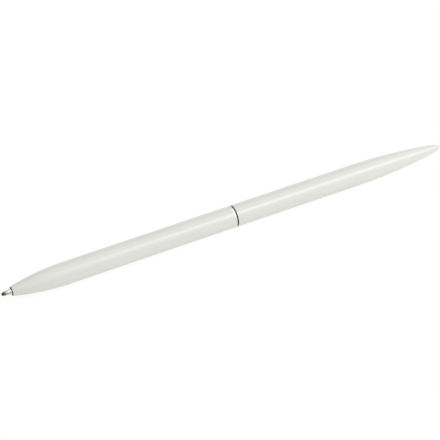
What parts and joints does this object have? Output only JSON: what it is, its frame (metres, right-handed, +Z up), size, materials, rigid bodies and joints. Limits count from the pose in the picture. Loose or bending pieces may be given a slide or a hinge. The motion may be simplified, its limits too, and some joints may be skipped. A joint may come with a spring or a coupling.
{
  "type": "ballpoint pen",
  "caption": "Slim twist-action ballpoint pen: light lacquered metal barrels with a rounded nose and a long tapered tail, thin polished centre ring, fine writing point.",
  "frame": {"origin": "below the middle of the pen's length, on the surface that it lies on", "axes": "+X along the pen from the writing point to the tail, +Z up, +Y across; the twist is at its point-out stop"},
  "size_m": [0.1518, 0.007, 0.007],
  "materials": {
    "lacquer": "satin off-white lacquer on drawn brass tube",
    "polished_metal": "polished",
    "brass": "turned",
    "steel": "drawn spring steel",
    "refill_metal": "drawn tube",
    "nylon": "moulded nylon",
    "rubber": "matt black rubber",
    "ink": "ballpoint ink",
    "grease": "clear follower grease",
    "ball_metal": "ground carbide"
  },
  "bodies": {
    "lower_half": {"lower_barrel": "lacquer", "nose_liner": "brass", "connector_bush": "brass", "return_spring": "steel"},
    "mechanism": {"guide_sleeve": "brass", "centre_ring": "polished_metal", "grip_ring_front": "rubber", "grip_ring_rear": "rubber", "friction_washer": "nylon", "retaining_clip": "steel"},
    "upper_half": {"upper_barrel": "lacquer", "drive_collar": "brass", "cam_sleeve": "nylon"},
    "refill": {"plunger": "nylon", "cam_pin": "steel", "refill_tube": "refill_metal", "refill_neck": "nylon", "refill_tip": "polished_metal", "ink_column": "ink", "ink_follower": "grease"},
    "ball": {"writing_ball": "ball_metal"}
  },
  "joints": [
    {"name": "halves_pull", "type": "slide", "parent": "lower_half", "child": "mechanism", "axis": [1, 0, 0], "range_m": [0, 0.08]},
    {"name": "barrel_twist", "type": "hinge", "parent": "mechanism", "child": "upper_half", "pos_m": [0, 0, 0.00352], "axis": [1, 0, 0], "range_deg": [0, 180]},
    {"name": "refill_travel", "type": "slide", "parent": "mechanism", "child": "refill", "axis": [1, 0, 0], "range_m": [0, 0.0054], "deforming": ["return_spring"]},
    {"name": "ball_roll", "type": "hinge", "parent": "refill", "child": "ball", "pos_m": [-0.07552, 0, 0.00352], "axis": [0, 1, 0], "continuous": true}
  ],
  "couplings": [
    {"joint": "barrel_twist", "follows": "refill_travel", "rad_per_m": 581.78}
  ]
}
